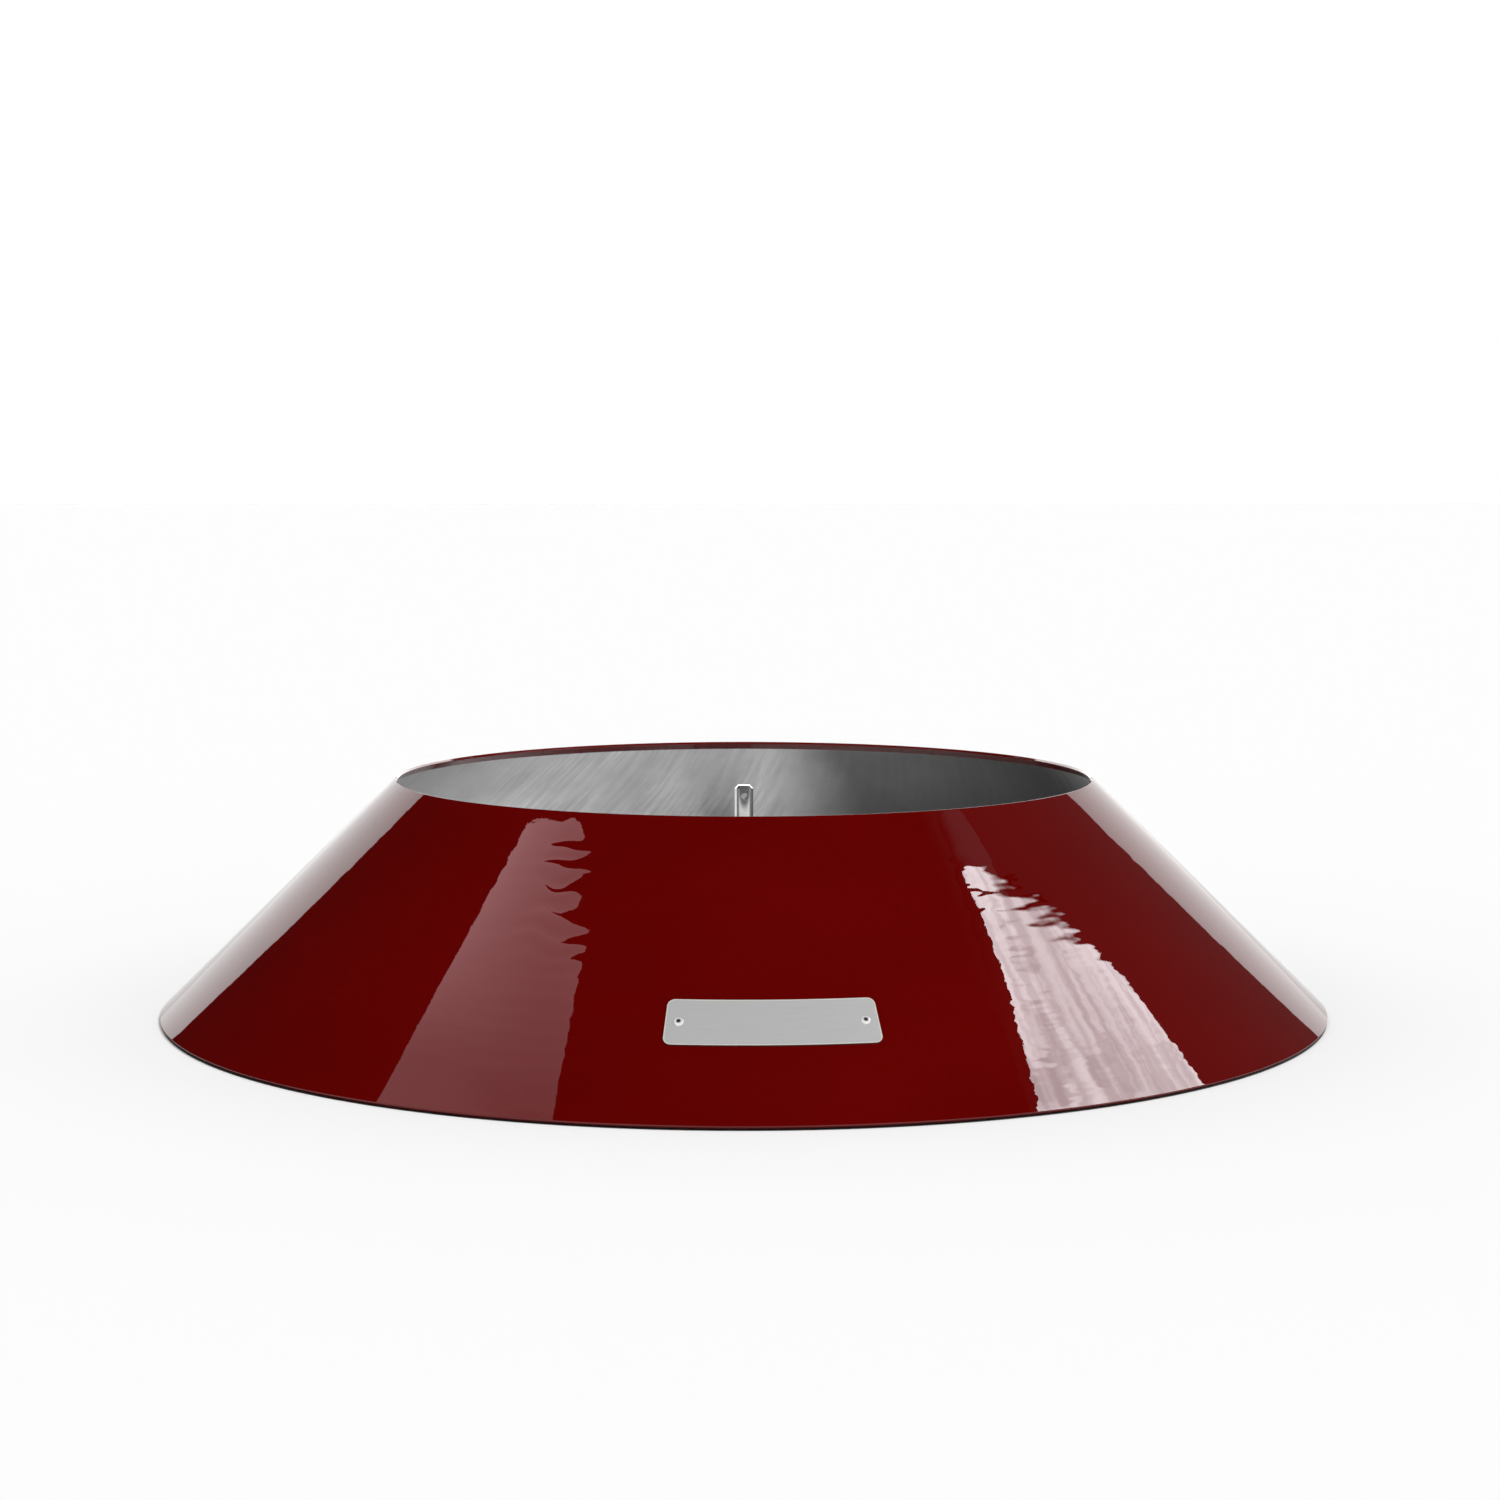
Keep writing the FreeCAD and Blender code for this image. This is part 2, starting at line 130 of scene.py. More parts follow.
class Finish(Wiring):
    """One material (or the world) and the patterns it is made from."""

    def __init__(self, name, tree=None):
        if tree is None:
            self.material = bpy.data.materials.new(name)
            self.material.use_nodes = True
            tree = self.material.node_tree
        super().__init__(tree)

    def span(self, value, low, high, to_low=0.0, to_high=1.0, smooth=True):
        made = self.node("ShaderNodeMapRange", interpolation_type="SMOOTHSTEP" if smooth else "LINEAR")
        for name, number in zip(("Value", "From Min", "From Max", "To Min", "To Max"),
                                (value, low, high, to_low, to_high)):
            self.feed(made.inputs[name], number)
        return made.outputs["Result"]

    def band(self, value, rise_from, rise_to, fall_from, fall_to):
        """1 where the value is from rise_to to fall_from, 0 outside, with soft edges between."""
        return self.mul(self.span(value, rise_from, rise_to), self.span(value, fall_from, fall_to, 1.0, 0.0))

    def noise(self, vector, scale=1.0, detail=2.0, roughness=0.5):
        made = self.node("ShaderNodeTexNoise")
        self.feed(made.inputs["Vector"], vector)
        for name, number in (("Scale", scale), ("Detail", detail), ("Roughness", roughness)):
            made.inputs[name].default_value = number
        return made.outputs["Fac"]

    def stretched(self, along, across, along_size, across_size, seed, *rest):
        """Flat noise whose grain is along_size by across_size metres."""
        return self.noise(self.join(self.div(along, along_size), self.div(across, across_size), seed),
                          1.0, *rest)

    def wrapped(self, ring, up, around_size, up_size, seed, *rest):
        """Noise that closes on itself round the cone; its grain is around_size by up_size metres."""
        return self.noise(self.join(self.div(ring[0], around_size), self.div(ring[1], around_size),
                                    self.add(self.div(up, up_size), seed)), 1.0, *rest)

    def mix(self, factor, a, b):
        made = self.node("ShaderNodeMix", data_type="RGBA")
        self.feed(made.inputs["Factor"], factor)
        self.feed(made.inputs[6], a)
        self.feed(made.inputs[7], b)
        return made.outputs[2]

    def blend_value(self, factor, a, b):
        made = self.node("ShaderNodeMix", data_type="FLOAT")
        for socket, value in zip((made.inputs[0], made.inputs[2], made.inputs[3]), (factor, a, b)):
            self.feed(socket, value)
        return made.outputs[0]

    def ramp(self, value, *stops):
        made = self.node("ShaderNodeValToRGB")
        elements = made.color_ramp.elements
        while len(elements) < len(stops):
            elements.new(0.5)
        for element, (place, colour) in zip(elements, stops):
            element.position = place
            element.color = colour
        self.feed(made.inputs[0], value)
        return made.outputs[0]

    def bump(self, height, distance, normal=None):
        made = self.node("ShaderNodeBump")
        made.inputs["Distance"].default_value = distance
        self.feed(made.inputs["Height"], height)
        self.feed(made.inputs["Normal"], normal)
        return made.outputs[0]

    def surface(self, **sockets):
        made = self.node("ShaderNodeBsdfPrincipled")
        for name, value in sockets.items():
            self.feed(made.inputs[name.replace("_", " ")], value)
        return self.output(made.outputs[0])

    def output(self, shader):
        made = self.node("ShaderNodeOutputMaterial")
        self.tree.links.new(shader, made.inputs["Surface"])
        return self.material

    def place(self):
        """Position in metres in the object's own frame."""
        return self.node("ShaderNodeTexCoord").outputs["Object"]

    def around_and_up(self, rear=False):
        """Distance round the cone at mid height from its front or rear, and distance up its slope."""
        x, y, z = self.split(self.place())
        bearing = self.math("ARCTAN2", x, y if rear else self.mul(y, -1.0))
        return self.mul(bearing, MID_R), self.div(self.sub(z, LOWER_EDGE_Z), SLOPE_SIN)

    def on_plate(self):
        """Distance along the plate and up it, both from its middle."""
        x, y, z = self.split(self.place())
        bearing = self.math("ARCTAN2", x, self.mul(y, -1.0))
        radius = self.hypot(x, y)
        up = self.add(self.mul(self.sub(BASE_R, radius), SLOPE_COS),
                      self.mul(self.sub(z, LOWER_EDGE_Z), SLOPE_SIN))
        return self.mul(bearing, PLATE_R), self.sub(up, PLATE_UP)

    def ring(self):
        """The point's bearing as a place on the cone's mid circle, in metres."""
        x, y, _ = self.split(self.place())
        radius = self.hypot(x, y)
        return self.mul(self.div(x, radius), MID_R), self.mul(self.div(y, radius), MID_R)


# ---------------------------------------------------------------- geometry node trees
class Grower(Wiring):
    """A geometry tree with named size inputs."""

    def __init__(self, name, **sizes):
        self.group = bpy.data.node_groups.new(name, "GeometryNodeTree")
        super().__init__(self.group)
        sockets = self.group.interface
        sockets.new_socket("Geometry", in_out="INPUT", socket_type="NodeSocketGeometry")
        sockets.new_socket("Geometry", in_out="OUTPUT", socket_type="NodeSocketGeometry")
        for size, value in sizes.items():
            kind = "NodeSocketInt" if isinstance(value, int) else "NodeSocketFloat"
            socket = sockets.new_socket(size, in_out="INPUT", socket_type=kind)
            socket.default_value = value
        self.given = self.node("NodeGroupInput").outputs

    def finish(self, geometry, *materials):
        """Realise instances and set the materials; each is (material, selection or None)."""
        geometry = self.fed("GeometryNodeRealizeInstances", geometry).outputs[0]
        for material, chosen in materials:
            geometry = self.fed("GeometryNodeSetMaterial", geometry, chosen, material).outputs[0]
        out = self.node("NodeGroupOutput")
        self.tree.links.new(geometry, out.inputs[0])
        return self.group


def grown(name, group, slot, base=None, weighted=False, **sizes):
    """Run a geometry tree on a base mesh and keep the result as a plain mesh piece."""
    mesh = base if base is not None else bpy.data.meshes.new(name + "_base")
    seed_object = bpy.data.objects.new(name + "_growing", mesh)
    bpy.context.scene.collection.objects.link(seed_object)
    modifier = seed_object.modifiers.new("grow", "NODES")
    modifier.node_group = group
    for item in group.interface.items_tree:
        if item.in_out == "INPUT" and item.name in sizes:
            modifier[item.identifier] = sizes[item.name]
    if weighted:
        even = seed_object.modifiers.new("even_normals", "WEIGHTED_NORMAL")
        even.weight = 100
        even.keep_sharp = False
    graph = bpy.context.evaluated_depsgraph_get()
    result = bpy.data.meshes.new_from_object(seed_object.evaluated_get(graph), depsgraph=graph)
    result.name = name
    bpy.data.objects.remove(seed_object)
    piece = bpy.data.objects.new(name, result)
    bpy.context.scene.collection.objects.link(piece)
    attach(piece, "root")
    return piece


def rolled_cone_tree(lacquer, steel):
    """Sheet section swept round the axis: the cone wall."""
    g = Grower("rolled_cone", **{"Base radius": BASE_R, "Rim radius": RIM_R, "Rise": RISE,
                                 "Sheet": SHEET, "Floor gap": FLOOR_GAP, "Edge ease": EDGE_EASE,
                                 "Lacquer wrap": LACQUER_WRAP, "Columns": 720, "Rows": 40})
    base, rim, rise, sheet, gap, ease = (g.given[n] for n in (
        "Base radius", "Rim radius", "Rise", "Sheet", "Floor gap", "Edge ease"))
    slope = g.math("ARCTAN2", rise, g.sub(base, rim))
    inward = g.mul(sheet, g.math("SINE", slope))
    down = g.mul(sheet, g.math("COSINE", slope))
    path_radius = g.mul(g.add(base, rim), 0.5)
    base_x, rim_x = g.sub(base, path_radius), g.sub(rim, path_radius)
    outer_low, outer_high = g.add(gap, down), g.add(g.add(gap, down), rise)
    section = g.node("GeometryNodeCurvePrimitiveQuadrilateral", mode="POINTS")
    corners = ((g.sub(base_x, inward), gap), (base_x, outer_low),
               (rim_x, outer_high), (g.sub(rim_x, inward), g.add(gap, rise)))
    for n, (across, height) in enumerate(corners):
        g.feed(section.inputs["Point %d" % (n + 1)], g.join(across, g.mul(height, -1.0)))
    eased = g.node("GeometryNodeFilletCurve", mode="POLY")
    g.feed(eased.inputs["Curve"], section.outputs[0])
    g.feed(eased.inputs["Count"], EASE_CUTS)
    g.feed(eased.inputs["Radius"], ease)
    index = g.node("GeometryNodeInputIndex").outputs[0]
    starts = [g.fed("FunctionNodeCompare", data_type="INT", operation="EQUAL") for _ in range(2)]
    for compare, corner in zip(starts, (2, 4)):
        g.feed(compare.inputs[2], index)
        g.feed(compare.inputs[3], corner * (EASE_CUTS + 1) - 1)
    long_face = g.fed("FunctionNodeBooleanMath", starts[0].outputs[0], starts[1].outputs[0],
                      operation="OR").outputs[0]
    cuts = g.node("GeometryNodeSwitch", input_type="INT")
    g.feed(cuts.inputs[0], long_face)
    g.feed(cuts.inputs[1], 0)
    g.feed(cuts.inputs[2], g.given["Rows"])
    fine = g.fed("GeometryNodeSubdivideCurve", eased.outputs[0], cuts.outputs[0])
    path = g.node("GeometryNodeCurvePrimitiveCircle", mode="RADIUS")
    g.feed(path.inputs["Resolution"], g.given["Columns"])
    g.feed(path.inputs["Radius"], path_radius)
    sweep = g.node("GeometryNodeCurveToMesh")
    g.feed(sweep.inputs["Curve"], path.outputs[0])
    g.feed(sweep.inputs["Profile Curve"], fine.outputs[0])
    outward = g.fed("GeometryNodeFlipFaces", sweep.outputs[0])
    smooth = g.fed("GeometryNodeSetShadeSmooth", outward.outputs[0])
    # Bare steel is the inner face below the lacquer's wrap.
    place = g.split(g.node("GeometryNodeInputPosition").outputs[0])
    radius = g.hypot(place[0], place[1])
    depth_in = g.add(g.mul(g.sub(base, radius), g.math("SINE", slope)),
                     g.mul(g.sub(outer_low, place[2]), g.math("COSINE", slope)))
    up_slope = g.sub(outer_high, g.mul(g.given["Lacquer wrap"], g.math("SINE", slope)))
    is_inside = g.math("GREATER_THAN", depth_in, g.mul(sheet, 0.9))
    is_below = g.math("LESS_THAN", g.add(place[2], down), up_slope)
    bare = g.math("GREATER_THAN", g.mul(is_inside, is_below), 0.5)
    return g.finish(smooth.outputs[0], (lacquer, None), (steel, bare))


# ---------------------------------------------------------------- camera
camera_data = bpy.data.cameras.new("camera")
camera_data.sensor_width = 36.0
camera_data.lens = 70.43
camera_data.shift_x = 0.00405
camera_data.clip_end = 60.0
camera = bpy.data.objects.new("camera", camera_data)
CAMERA_REACH, CAMERA_HEIGHT, CAMERA_PITCH = 2.52813, 0.468745, 0.09792
camera.location = (-CAMERA_REACH * math.sin(CAMERA_BEARING), -CAMERA_REACH * math.cos(CAMERA_BEARING),
                   CAMERA_HEIGHT)
camera.rotation_euler = (math.pi / 2 - CAMERA_PITCH, 0.0, -CAMERA_BEARING)
bpy.context.scene.collection.objects.link(camera)
bpy.context.scene.camera = camera


# ---------------------------------------------------------------- finishes
SCALLOP_REACH = 0.290         # up the slope
SCALLOP_COUNT, SCALLOP_CROWDING = 15.0, 1.35


def wine_red_lacquer():
    f = Finish("wine_red_lacquer")
    around, up = f.around_and_up()
    ring = f.ring()
    drift = f.wrapped(ring, up, 0.20, 0.12, 0.0, 3.0, 0.55)
    colour = f.mix(drift, srgb(81, 2, 1), srgb(93, 3, 2))
    speck = f.noise(f.place(), 900.0, 2.0, 0.6)
    colour = f.mix(f.span(speck, 0.64, 0.80, 0.0, 0.22), colour, srgb(116, 11, 8))
    # Scallops left by rolling the sheet: short up the slope and long round the cone,
    # widest near the rim and dying out towards the base.
    sway = f.wrapped(ring, up, 0.055, 0.060, 3.0, 1.0)
    share = f.div(f.sub(SCALLOP_REACH, up), SCALLOP_REACH)
    turns = f.mul(f.math("POWER", share, SCALLOP_CROWDING), SCALLOP_COUNT)
    part = f.sub(f.math("FRACT", f.add(turns, f.mul(sway, 2.0))), 0.5)
    scallop = f.sub(f.mul(part, 2.0), f.math("SINE", f.mul(part, math.pi)))
    near_band = f.band(around, -0.220, -0.185, -0.085, -0.040)
    near_streak = f.band(around, 0.130, 0.190, 0.260, 0.340)
    calm_low = f.span(up, 0.115, 0.225, 0.06, 1.0)
    strength = f.add(f.add(f.mul(near_band, 0.88), f.mul(near_streak, 0.14)), 0.12)
    calm_high = f.blend_value(f.mul(f.span(around, 0.05, 0.09), f.span(up, 0.232, 0.250)), 1.0, 0.25)
    ripple = f.mul(scallop, f.mul(f.mul(strength, calm_low), calm_high))
    odd = f.wrapped(ring, up, 0.055, 0.022, 5.0, 2.0, 0.5)
    odd = f.mul(odd, f.mul(f.add(f.mul(near_streak, 0.55), 0.15), calm_high))
    wave = f.wrapped(ring, up, 0.05, 0.30, 11.0, 1.0)
    draw = f.wrapped(ring, up, 0.006, 0.22, 13.0, 2.0)
    peel = f.noise(f.place(), 260.0, 2.0, 0.5)
    normal = f.bump(ripple, 0.00044)
    normal = f.bump(odd, 0.00036, normal)
    normal = f.bump(wave, 0.00012, normal)
    normal = f.bump(draw, 0.000010, normal)
    normal = f.bump(peel, 0.0000035, normal)
    return f.surface(Base_Color=colour, Roughness=0.28, Specular_IOR_Level=0.0, Coat_Weight=1.0,
                     Coat_Roughness=0.012, Coat_IOR=1.5, Normal=normal, Coat_Normal=normal)


GRIND_LEAN = 1.18             # radians from the way round the cone to the grinding strokes


def ground_bare_steel():
    f = Finish("ground_bare_steel")
    around, up = f.around_and_up(rear=True)
    # Strokes of the grinding disc lean up the slope and fade in and out.
    bend = f.stretched(around, up, 0.20, 0.20, 2.0, 1.0)
    cosine, sine = math.cos(GRIND_LEAN), math.sin(GRIND_LEAN)
    along = f.add(f.mul(around, cosine), f.mul(up, sine))
    across = f.sub(f.mul(up, cosine), f.mul(around, sine))
    across = f.add(across, f.mul(bend, 0.020))
    stroke = f.stretched(along, across, 0.075, 0.0080, 0.0, 4.0, 0.60)
    fine = f.stretched(along, across, 0.034, 0.0018, 3.0, 2.0, 0.6)
    hair = f.stretched(along, across, 0.020, 0.0006, 5.0, 3.0, 0.6)
    worked = f.span(f.stretched(around, up, 0.09, 0.10, 4.0, 2.0), 0.35, 0.65, 0.30, 1.0)
    ground = f.mul(f.span(around, -0.32, -0.20, 0.25, 1.0), f.span(around, 0.02, 0.10, 1.0, 0.15))
    worked = f.mul(worked, ground)
    cloud = f.stretched(around, up, 0.09, 0.07, 9.0, 3.0, 0.6)
    marks = f.add(f.mul(f.sub(stroke, 0.5), 2.2), f.mul(f.sub(fine, 0.5), 0.6))
    tone = f.span(f.mul(marks, worked), -0.35, 0.35, 0.68, 1.0, smooth=False)
    tone = f.mul(tone, f.span(cloud, 0.3, 0.7, 0.90, 1.06))
    # Painted shade: the wall is coloured much darker to the right of the rear.
    far_side = f.math("ABSOLUTE", around)
    scale_from = f.add(around, f.mul(f.sub(cloud, 0.5), 0.08))
    scale = f.mul(f.span(scale_from, 0.03, 0.15), f.span(around, 0.44, 0.62, 1.0, 0.0))
    tone = f.mul(tone, f.blend_value(scale, 1.0, 0.23))
    # Painted shade: a band left of the rear is coloured darker.
    left_dim = f.band(around, -0.90, -0.60, -0.30, -0.05)
    tone = f.mul(tone, f.blend_value(left_dim, 1.0, 0.80))
    # Painted shade: darker round the sides of the inside, less so towards the front.
    side_tone = f.mul(f.span(far_side, 0.24, 0.44, 1.0, 0.64), f.span(far_side, 0.50, 0.70, 1.0, 1.4))
    tone = f.mul(tone, side_tone)
    seam_middle = MID_R * math.pi
    seam = f.span(far_side, seam_middle - 0.0036, seam_middle - 0.0022)
    tone = f.join(tone, tone, tone)
    rough = f.span(f.add(stroke, f.mul(hair, 0.4)), 0.4, 1.0, 0.50, 0.36)
    # Red overspray fades out below the painted edge.
    edge = f.sub((RIM_Z - LOWER_EDGE_Z) / SLOPE_SIN - SHEET / math.tan(SLOPE), up)
    mist = f.noise(f.place(), 1100.0, 3.0, 0.7)
    spray = f.math("GREATER_THAN", f.sub(f.mul(mist, 0.008), f.sub(edge, LACQUER_WRAP)), 0.0022)
    tone = f.mix(spray, tone, srgb(104, 8, 6))
    metal = f.mul(f.sub(1.0, spray), 0.65)
    normal = f.bump(hair, 0.00002)
    normal = f.bump(marks, 0.00010, normal)
    normal = f.bump(seam, 0.00025, normal)
    return f.surface(Base_Color=tone, Metallic=metal, Roughness=rough, Normal=normal)


def brushed_plate():
    f = Finish("brushed_plate")
    around, up = f.around_and_up()
    grain = f.stretched(around, up, 0.030, 0.00035, 1.0, 4.0, 0.65)
    cloud = f.noise(f.place(), 28.0, 2.0)
    tone = f.ramp(grain, (0.25, grey(0.46)), (0.75, grey(0.58)))
    tone = f.mix(f.mul(cloud, 0.4), tone, grey(0.53))
    # Painted highlight: a pale band along the face's border. Painted shadow: the cut edge is coloured dark.
    along, up = f.on_plate()
    past_x = f.sub(f.math("ABSOLUTE", along), PLATE_HALF_LONG - PLATE_CORNER)
    past_y = f.sub(f.math("ABSOLUTE", up), PLATE_HALF_HIGH - PLATE_CORNER)
    out_x, out_y = f.math("MAXIMUM", past_x, 0.0), f.math("MAXIMUM", past_y, 0.0)
    corner = f.hypot(out_x, out_y)
    inside = f.math("MINIMUM", f.math("MAXIMUM", past_x, past_y), 0.0)
    from_edge = f.sub(f.add(corner, inside), PLATE_CORNER)
    tone = f.mix(f.span(from_edge, -0.00115, -0.00070, 0.0, 0.70), tone, srgb(236, 228, 218))
    tone = f.mix(f.span(from_edge, -0.00025, -0.00005), tone, grey(0.05))
    return f.surface(Base_Color=tone, Metallic=0.35, Roughness=f.span(grain, 0.3, 0.7, 0.42, 0.34),
                     Normal=f.bump(grain, 0.000012))


def blind_rivet_metal():
    f = Finish("bright_rivet")
    grain = f.noise(f.place(), 1400.0, 3.0, 0.6)
    tone = f.mix(grain, grey(0.72), grey(0.84))
    # Painted shade: the crown round the stem's hole is coloured dark.
    along, up = f.on_plate()
    aside = f.sub(f.math("ABSOLUTE", along), PLATE_HALF_LONG - RIVET_IN)
    from_stem = f.hypot(aside, up)
    crown = f.span(from_stem, 0.0011, 0.0024, 1.0, 0.0)
    tone = f.mix(crown, tone, grey(0.03))
    return f.surface(Base_Color=tone, Metallic=f.mul(f.sub(1.0, crown), 0.30),
                     Roughness=f.add(f.mul(grain, 0.08), 0.22), Normal=f.bump(grain, 0.000006))


def metal(name, dark, light, rough, grain_scale=140.0, bump=0.00001, metallic=1.0):
    """A plain metal or rubber with a fine grain and slow clouds of tone."""
    f = Finish(name)
    grain = f.noise(f.place(), grain_scale, 4.0, 0.6)
    cloud = f.noise(f.place(), grain_scale / 9, 2.0)
    tone = f.mix(f.span(f.add(grain, cloud), 0.75, 1.25), dark, light)
    roughness = f.span(grain, 0.3, 0.7, rough * 0.75, rough)
    return f.surface(Base_Color=tone, Metallic=metallic, Roughness=roughness, Normal=f.bump(grain, bump))


def turned_pin_steel():
    f = Finish("turned_pin_steel")
    x, y, z = f.split(f.place())
    lathe = f.noise(f.join(f.mul(x, 8.0), f.mul(y, 8.0), f.mul(z, 2400.0)), 1.0, 3.0, 0.6)
    cloud = f.noise(f.place(), 160.0, 2.0)
    tone = f.mix(f.span(f.add(lathe, cloud), 0.7, 1.3), grey(0.84), grey(0.94))
    # Painted shade: the walls of the cross hole are coloured near black.
    rise = f.sub(z, CROSS_HOLE_Z)
    from_bore = f.hypot(x, rise)
    from_axis = f.hypot(x, y)
    bore = f.mul(f.span(from_bore, CROSS_HOLE_R, CROSS_HOLE_R + 0.0003, 1.0, 0.0),
                 f.span(from_axis, PIN_R - 0.0005, PIN_R - 0.0001, 1.0, 0.0))
    tone = f.mix(bore, tone, grey(0.006))
    metal = f.mul(f.sub(1.0, bore), 0.90)
    rough = f.add(f.span(lathe, 0.3, 0.7, 0.09, 0.14), f.mul(bore, 0.5))
    return f.surface(Base_Color=tone, Metallic=metal, Roughness=rough, Normal=f.bump(lathe, 0.000004))


lacquer = wine_red_lacquer()
bare_steel = ground_bare_steel()
plate_metal = brushed_plate()
bright_rivet = blind_rivet_metal()
# Painted shade: the broken stem is coloured near black, for the shade in its hole.
stem_steel = metal("broken_stem", grey(0.02), grey(0.07), 0.5, 900.0, 0.00005, metallic=0.4)
pin_steel = turned_pin_steel()
brace_steel = metal("pickled_brace_steel", grey(0.46), grey(0.62), 0.46, 60.0, 0.00003, metallic=0.35)
zinc = metal("zinc_plate", srgb(168, 173, 178), srgb(205, 207, 206), 0.30, 240.0, metallic=0.55)
weld_metal = metal("weld_metal", srgb(112, 104, 96), srgb(176, 174, 170), 0.38, 300.0, 0.00003,
                   metallic=0.7)
rubber = metal("foot_rubber", grey(0.018), grey(0.035), 0.75, 500.0, 0.00004, metallic=0.0)

wall = grown("cone_wall", rolled_cone_tree(lacquer, bare_steel), "wall_steel", weighted=True)
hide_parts("cone_shell")


# ---------------------------------------------------------------- name plate with eased edges
def eased_plate():
    """The plate's own solid with its edges lightly broken, as after sanding."""
    shape = bmesh.new()
    shape.from_mesh(nodes["name_plate"].data)
    bmesh.ops.remove_doubles(shape, verts=shape.verts, dist=1e-6)
    bmesh.ops.recalc_face_normals(shape, faces=shape.faces)
    corners = [e for e in shape.edges if len(e.link_faces) == 2 and e.calc_face_angle() > math.radians(50)]
    bmesh.ops.bevel(shape, geom=corners, offset=EDGE_BREAK, offset_type="OFFSET", segments=3, profile=0.5,
                    affect="EDGES", clamp_overlap=True)
    for face in shape.faces:
        face.smooth = True
    mesh = bpy.data.meshes.new("bare_plate")
    shape.to_mesh(mesh)
    shape.free()
    mesh.materials.append(plate_metal)
    piece = bpy.data.objects.new("bare_plate", mesh)
    bpy.context.scene.collection.objects.link(piece)
    even = piece.modifiers.new("even_normals", "WEIGHTED_NORMAL")
    even.weight = 100
    even.keep_sharp = False
    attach(piece, "root")
    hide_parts("name_plate")


eased_plate()


# ---------------------------------------------------------------- weld beads
def weld_bead_tree():
    """Overlapping ripples of weld along every edge of the path."""
    g = Grower("weld_beads", **{"Ripple pitch": 0.0017, "Bead width": 0.0050, "Seed": 4})
    line = g.fed("GeometryNodeMeshToCurve", g.given["Geometry"])
    even = g.node("GeometryNodeResampleCurve", mode="LENGTH")
    g.feed(even.inputs["Curve"], line.outputs[0])
    g.feed(even.inputs["Length"], g.given["Ripple pitch"])
    ripple = g.node("GeometryNodeMeshUVSphere")
    g.feed(ripple.inputs["Segments"], 8)
    g.feed(ripple.inputs["Rings"], 5)
    g.feed(ripple.inputs["Radius"], g.mul(g.given["Bead width"], 0.5))
    turn = g.node("FunctionNodeAlignRotationToVector", axis="X")
    g.feed(turn.inputs["Vector"], g.node("GeometryNodeInputTangent").outputs[0])
    size = g.node("FunctionNodeRandomValue", data_type="FLOAT")
    g.feed(size.inputs[2], 0.88)
    g.feed(size.inputs[3], 1.12)
    g.feed(size.inputs["Seed"], g.given["Seed"])
    scale = g.join(g.mul(size.outputs[1], 0.62), size.outputs[1], size.outputs[1])
    beads = g.node("GeometryNodeInstanceOnPoints")
    for name, value in (("Points", even.outputs[0]), ("Instance", ripple.outputs[0]),
                        ("Rotation", turn.outputs[0]), ("Scale", scale)):
        g.feed(beads.inputs[name], value)
    smooth = g.fed("GeometryNodeSetShadeSmooth", beads.outputs[0])
    return g.finish(smooth.outputs[0], (weld_metal, None))


def line_mesh(name, lines):
    """Mesh of open polylines; a line with a single place in it is a lone point."""
    verts, edges = [], []
    for line in lines:
        edges += [(len(verts) + n, len(verts) + n + 1) for n in range(len(line) - 1)]
        verts += line
    mesh = bpy.data.meshes.new(name)
    mesh.from_pydata(verts, edges, [])
    return mesh


def turned(point, bearing):
    """A point laid out along +X, turned about the axis."""
    c, s = math.cos(bearing), math.sin(bearing)
    return (point[0] * c - point[1] * s, point[0] * s + point[1] * c, point[2])


def wall_point(sideways, height, clear):
    """Point beside the wall's inner face, at a distance to one side of a bracket's middle."""
    radius = wall_inner_radius(height) - clear
    return (math.sqrt(radius ** 2 - sideways ** 2), sideways, height)


RING_TOP, SHELF_TOP, SHELF_BOTTOM, GUSSET_FOOT = 0.012, 0.080, 0.075, 0.037
SHELF_HALF, GUSSET_HALF, GUSSET_RUN = 0.017, 0.0032, 0.034
BEAD_LIFT = 0.0006            # a bead's line above the face it is laid on
RING_BEAD_OFF, SHELF_BEAD_OFF, GUSSET_BEAD_OFF = 0.0014, 0.0012, 0.0010     # lines off the wall


def ring_welds(stitches=16, length=0.032):
    """Short stitches round the top of the base ring."""
    lines = []
    half = length / 2 / wall_inner_radius(RING_TOP)
    for n in range(stitches):
        middle = 2 * math.pi * (n + 0.5) / stitches
        lines.append([turned((wall_inner_radius(RING_TOP) - RING_BEAD_OFF, 0.0, RING_TOP + BEAD_LIFT),
                             middle + half * k / 5) for k in range(-5, 6)])
    return lines


def bracket_welds():
    """A run over each shelf, two under it and one up either side of its gusset."""
    lines = []
    for quarter in range(4):
        bearing = quarter * math.pi / 2
        runs = [[wall_point(SHELF_HALF * k / 4, SHELF_TOP + BEAD_LIFT, SHELF_BEAD_OFF)
                 for k in range(-4, 5)]]
        for side in (-1, 1):
            runs.append([wall_point(side * y, SHELF_BOTTOM - 0.0010, SHELF_BEAD_OFF)
                         for y in (0.0045, 0.009, 0.0135, 0.018)])
            runs.append([wall_point(side * GUSSET_HALF, GUSSET_FOOT + 0.002 + GUSSET_RUN * k / 8,
                                    GUSSET_BEAD_OFF) for k in range(9)])
        lines += [[turned(point, bearing) for point in run] for run in runs]
    return lines


bead_tree = weld_bead_tree()
grown("ring_stitch_welds", bead_tree, "brace_steel", base=line_mesh("ring_weld_lines", ring_welds()))
grown("bracket_welds", bead_tree, "brace_steel", base=line_mesh("bracket_weld_lines", bracket_welds()))


